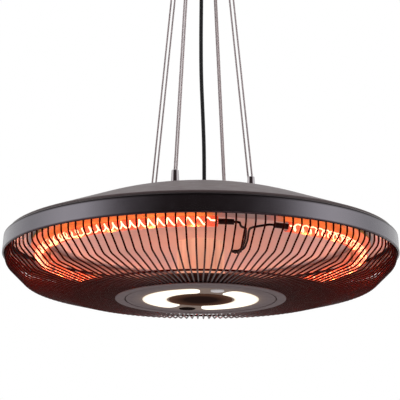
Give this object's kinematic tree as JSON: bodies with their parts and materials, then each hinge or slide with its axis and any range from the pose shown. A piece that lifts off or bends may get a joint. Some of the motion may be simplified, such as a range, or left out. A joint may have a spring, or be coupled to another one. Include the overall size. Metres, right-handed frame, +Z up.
{
  "type": "hanging patio heater",
  "caption": "Round infrared patio heater that hangs from the ceiling on doubled wire ropes, with a painted dome, a glowing ring tube behind a wire guard and a lamp hub underneath.",
  "frame": {"origin": "on the middle axis, on the ceiling bracket's upper face, which lies against the ceiling", "axes": "+Z up, away from the heater into the ceiling; -Y towards the front; +X to the right seen from the front"},
  "size_m": [0.5998, 0.5998, 0.564],
  "materials": {
    "canopy_paint": "satin",
    "zinc_steel": "zinc plated",
    "bright_steel": "polished",
    "rope_steel": "stranded",
    "cord_rubber": "matt",
    "dome_paint": "satin",
    "rim_paint": "satin",
    "terminal_plastic": "matt",
    "box_plastic": "matt",
    "reflector_metal": "bright",
    "quartz": "clear",
    "sleeve_ceramic": "black, matt",
    "hot_carbon": "glowing",
    "guard_paint": "satin",
    "hub_plastic": "satin",
    "cap_plastic": "glossy",
    "opal_plastic": "opal, lit",
    "board_resin": "matt",
    "chip_resin": "glossy",
    "button_plastic": "satin",
    "sensor_resin": "glossy"
  },
  "bodies": {
    "heater": {"canopy_cover": "canopy_paint", "ceiling_bracket": "zinc_steel", "carrier_plate": "zinc_steel", "frame_standoffs": "zinc_steel", "gripper_nuts": "zinc_steel", "rim_screws": "zinc_steel", "face_screws": "zinc_steel", "guard_clips": "zinc_steel", "tube_clips": "zinc_steel", "rope_anchors": "bright_steel", "anchor_pins": "bright_steel", "rope_grippers": "bright_steel", "tube_plugs": "bright_steel", "rope_front_left": "rope_steel", "rope_front_right": "rope_steel", "rope_rear_right": "rope_steel", "rope_rear_left": "rope_steel", "power_cord": "cord_rubber", "cord_gland": "cord_rubber", "canopy_cord_grip": "cord_rubber", "lead_grommet": "cord_rubber", "tube_leads": "cord_rubber", "dome_shell": "dome_paint", "top_lid": "dome_paint", "rim_band": "rim_paint", "canopy_terminal_block": "terminal_plastic", "terminal_block": "terminal_plastic", "control_box": "box_plastic", "led_housing": "box_plastic", "button_switch": "box_plastic", "reflector_plate": "reflector_metal", "tube_trough": "reflector_metal", "hub_column": "reflector_metal", "quartz_tube": "quartz", "tube_sleeves": "sleeve_ceramic", "carbon_spiral": "hot_carbon", "guard_wires": "guard_paint", "guard_rim_ring": "guard_paint", "guard_middle_ring": "guard_paint", "hub_bezel": "hub_plastic", "hub_face": "hub_plastic", "centre_cap": "cap_plastic", "receiver_lens": "cap_plastic", "led_diffuser_right": "opal_plastic", "led_diffuser_left": "opal_plastic", "led_board": "board_resin", "led_chips": "chip_resin", "receiver_sensor": "sensor_resin"},
    "button": {"push_button": "button_plastic"}
  },
  "joints": [
    {"name": "button_press", "type": "slide", "parent": "heater", "child": "button", "axis": [0, 0, 1], "range_m": [0, 0.0015], "stiffness_N_per_m": 1500, "springref_m": -0.0005}
  ]
}
